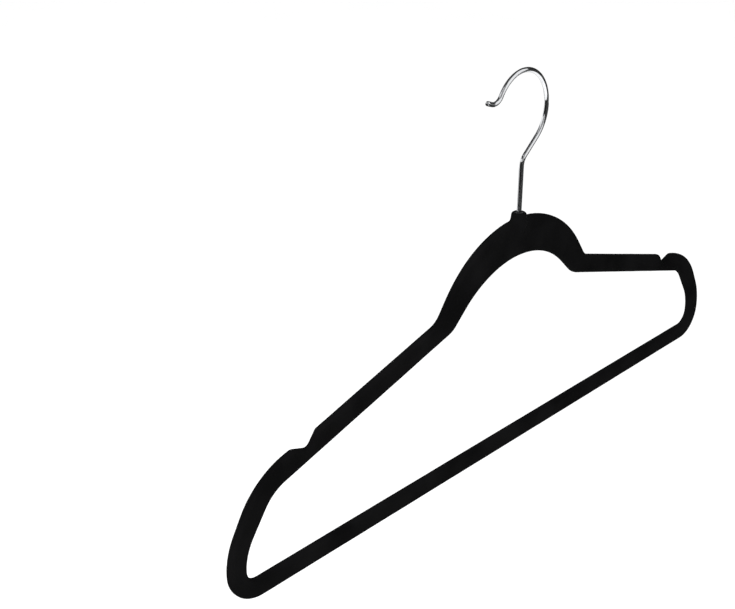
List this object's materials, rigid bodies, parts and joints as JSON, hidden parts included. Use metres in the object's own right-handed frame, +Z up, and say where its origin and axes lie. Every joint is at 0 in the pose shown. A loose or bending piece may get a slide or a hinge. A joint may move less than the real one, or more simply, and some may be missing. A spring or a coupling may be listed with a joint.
{
  "type": "clothes hanger",
  "caption": "Slim flocked clothes hanger: domed neck, sloping shoulders with strap notches, straight trouser bar, and a chromed wire hook that swivels to hang on a rail.",
  "frame": {"origin": "rail seat: on the swivel axis, at the underside of the top of the hook, where a rail carries the hanger", "axes": "+X along the hanger's length, with the hook's mouth towards -X; +Z up along the swivel axis; the front face looks along -Y"},
  "size_m": [0.45, 0.009, 0.2362],
  "materials": {
    "moulded_abs": "black moulded ABS, lightly textured, hidden under the pile",
    "velvet_pile": "black flocked velvet, short upright pile, matt with a soft grey bloom on rounded edges",
    "nylon": "black nylon, satin",
    "chromed_wire": "bright chrome plate on steel wire"
  },
  "bodies": {
    "hook": {"swivel_hook": "chromed_wire"},
    "hanger": {"hanger_core": "moulded_abs", "velvet_flock": "velvet_pile", "swivel_bush": "nylon"}
  },
  "joints": [
    {"name": "hook_swivel", "type": "hinge", "parent": "hook", "child": "hanger", "pos_m": [0, 0, -0.08049], "axis": [0, 0, 1], "continuous": true}
  ]
}
